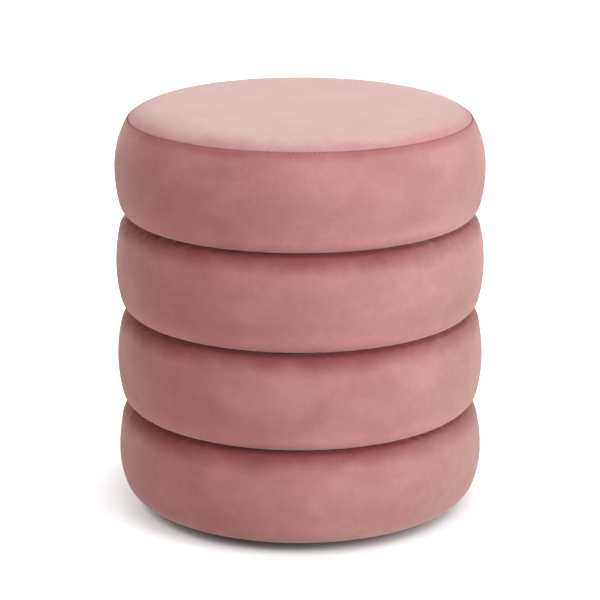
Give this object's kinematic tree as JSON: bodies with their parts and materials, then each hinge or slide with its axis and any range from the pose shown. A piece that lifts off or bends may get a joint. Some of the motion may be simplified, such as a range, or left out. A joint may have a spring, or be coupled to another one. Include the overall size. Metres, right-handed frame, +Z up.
{
  "type": "ottoman",
  "caption": "Round upholstered ottoman: soft velvet rolls stacked on one another with deep creases between, a seamed padded seat on top and low hidden glides",
  "frame": {"origin": "on the floor under the middle of the ottoman, at its axis", "axes": "+Z is up along the ottoman's axis; -Y faces the viewer of the picture and +X is to the right there"},
  "size_m": [0.3999, 0.4, 0.4494],
  "materials": {
    "velvet": "short-pile dusty pink velvet",
    "wadding": "white polyester fibre wadding",
    "foam": "open-cell polyurethane upholstery foam",
    "plywood": "bare sawn plywood",
    "pine": "bare planed pine",
    "hardboard": "thin smooth hardboard bent to a hoop",
    "dust_fabric": "black spunbond non-woven cloth",
    "glide_plastic": "matt black moulded plastic",
    "steel": "zinc-plated steel"
  },
  "bodies": {
    "root": {"dust_cover": "dust_fabric", "dust_cover_staples": "steel", "glide_1": "glide_plastic", "glide_2": "glide_plastic", "glide_3": "glide_plastic", "glide_4": "glide_plastic", "glide_screws": "steel", "lower_tier_bottom_ring": "plywood", "lower_tier_cover": "velvet", "lower_tier_fixing_screws": "steel", "lower_tier_foam": "foam", "lower_tier_frame_screws": "steel", "lower_tier_hem_staples": "steel", "lower_tier_post_1": "pine", "lower_tier_post_2": "pine", "lower_tier_post_3": "pine", "lower_tier_post_4": "pine", "lower_tier_top_ring": "plywood", "lower_tier_wadding": "wadding", "lower_tier_wrap": "hardboard", "middle_tier_bottom_ring": "plywood", "middle_tier_cover": "velvet", "middle_tier_fixing_screws": "steel", "middle_tier_foam": "foam", "middle_tier_frame_screws": "steel", "middle_tier_hem_staples": "steel", "middle_tier_post_1": "pine", "middle_tier_post_2": "pine", "middle_tier_post_3": "pine", "middle_tier_post_4": "pine", "middle_tier_top_ring": "plywood", "middle_tier_wadding": "wadding", "middle_tier_wrap": "hardboard", "seat_board": "plywood", "seat_foam": "foam", "seat_hem_staples": "steel", "seat_side_band": "velvet", "seat_top_panel": "velvet", "seat_wadding": "wadding", "upper_tier_bottom_ring": "plywood", "upper_tier_cover": "velvet", "upper_tier_fixing_screws": "steel", "upper_tier_foam": "foam", "upper_tier_frame_screws": "steel", "upper_tier_hem_staples": "steel", "upper_tier_post_1": "pine", "upper_tier_post_2": "pine", "upper_tier_post_3": "pine", "upper_tier_post_4": "pine", "upper_tier_top_ring": "plywood", "upper_tier_wadding": "wadding", "upper_tier_wrap": "hardboard"}
  },
  "joints": []
}
